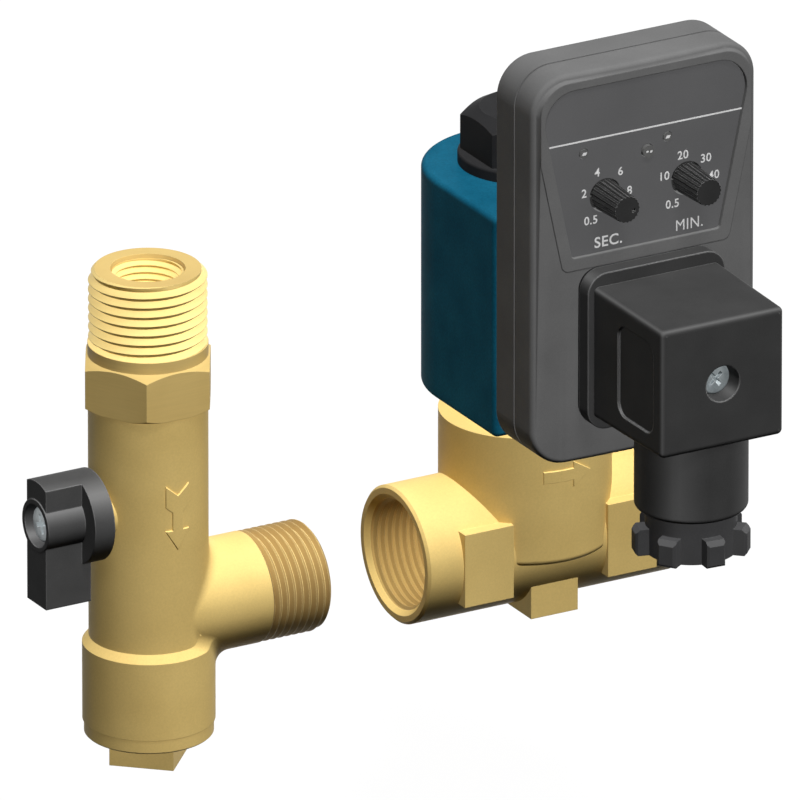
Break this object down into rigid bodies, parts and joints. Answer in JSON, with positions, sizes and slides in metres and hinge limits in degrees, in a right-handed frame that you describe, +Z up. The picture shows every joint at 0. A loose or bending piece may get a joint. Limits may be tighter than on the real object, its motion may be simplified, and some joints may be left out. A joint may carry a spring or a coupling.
{
  "type": "automatic drain valve",
  "caption": "Timer-controlled solenoid drain valve in brass with plug-in timer and cable connector, beside its strainer ball valve that screws into the inlet port.",
  "frame": {"origin": "on the strainer valve's vertical axis, at the shoulder that its inlet thread stops against", "axes": "+Z up along the inlet thread, towards the pipe or tank that it screws into; +X the way the water flows, out of the drain valve's outlet port; -Y the front, where the timer faces"},
  "size_m": [0.1294, 0.0914, 0.1362],
  "materials": {
    "brass": "satin, turned",
    "stainless": "satin",
    "steel": "zinc plated",
    "ptfe": "smooth",
    "seal": "matt",
    "coil_blue": "moulded, satin",
    "copper": "enamelled wire",
    "bobbin": "moulded",
    "terminal": "tinned",
    "timer_grey": "moulded, fine grain",
    "panel_grey": "printed film",
    "board": "lacquered",
    "black_plastic": "moulded, satin",
    "knob_black": "moulded",
    "lamp": "clear lens",
    "button": "moulded"
  },
  "bodies": {
    "strainer_valve": {"strainer_valve_body": "brass", "inlet_end": "brass", "ball_seats": "ptfe", "stem_packing": "ptfe"},
    "ball_handle": {"ball": "brass", "stem": "brass", "handle": "black_plastic", "handle_screw": "steel"},
    "strainer_cap_and_screen": {"strainer_cap": "brass", "strainer_cap_gasket": "seal", "strainer_screen": "stainless"},
    "drain_valve": {"drain_valve_body": "brass", "bonnet": "brass", "bonnet_seal": "seal", "armature_tube": "stainless", "fixed_core": "stainless", "plunger_spring": "stainless", "coil_nut": "black_plastic"},
    "plunger": {"plunger": "stainless", "plunger_seal": "seal"},
    "coil_and_timer": {"coil_housing": "coil_blue", "coil_frame": "steel", "coil_bobbin": "bobbin", "coil_winding": "copper", "coil_terminal_base": "coil_blue", "coil_terminals": "terminal", "timer_gasket": "seal", "timer_rear_shell": "timer_grey", "timer_front_shell": "timer_grey", "timer_panel": "panel_grey", "circuit_board": "board", "potentiometers": "black_plastic", "indicator_lamps": "lamp", "test_switch": "black_plastic", "connector_gasket": "seal", "connector_base": "black_plastic", "connector_pins": "terminal", "connector_insert": "black_plastic", "connector_housing": "black_plastic", "connector_screw": "steel", "gland_grommet": "seal", "gland_washer": "steel", "gland_nut": "black_plastic"},
    "sec_knob": {"sec_knob": "knob_black"},
    "min_knob": {"min_knob": "knob_black"},
    "test_button": {"test_button": "button"}
  },
  "joints": [
    {"name": "drain_valve_fit", "type": "slide", "parent": "strainer_valve", "child": "drain_valve", "axis": [-1, 0, 0], "range_m": [0, 0.03]},
    {"name": "ball_turn", "type": "hinge", "parent": "strainer_valve", "child": "ball_handle", "pos_m": [-0.014, 0, -0.0315], "axis": [-1, 0, 0], "range_deg": [0, 90]},
    {"name": "strainer_cap_out", "type": "slide", "parent": "strainer_valve", "child": "strainer_cap_and_screen", "axis": [0, 0, -1], "range_m": [0, 0.034]},
    {"name": "coil_swivel", "type": "hinge", "parent": "drain_valve", "child": "coil_and_timer", "pos_m": [0.0786, 0, 0], "axis": [0, 0, 1], "range_deg": [0, 180]},
    {"name": "plunger_lift", "type": "slide", "parent": "drain_valve", "child": "plunger", "axis": [0, 0, 1], "range_m": [0, 0.002], "stiffness_N_per_m": 400, "springref_m": -0.003, "deforming": ["plunger_spring"]},
    {"name": "sec_knob_turn", "type": "hinge", "parent": "coil_and_timer", "child": "sec_knob", "pos_m": [0.0704, -0.048, 0.0299], "axis": [0, -1, 0], "range_deg": [0, 240]},
    {"name": "min_knob_turn", "type": "hinge", "parent": "coil_and_timer", "child": "min_knob", "pos_m": [0.0874, -0.048, 0.0299], "axis": [0, -1, 0], "range_deg": [0, 240]},
    {"name": "test_button_push", "type": "slide", "parent": "coil_and_timer", "child": "test_button", "axis": [0, 1, 0], "range_m": [0, 0.0006], "stiffness_N_per_m": 300, "springref_m": -0.0012}
  ]
}
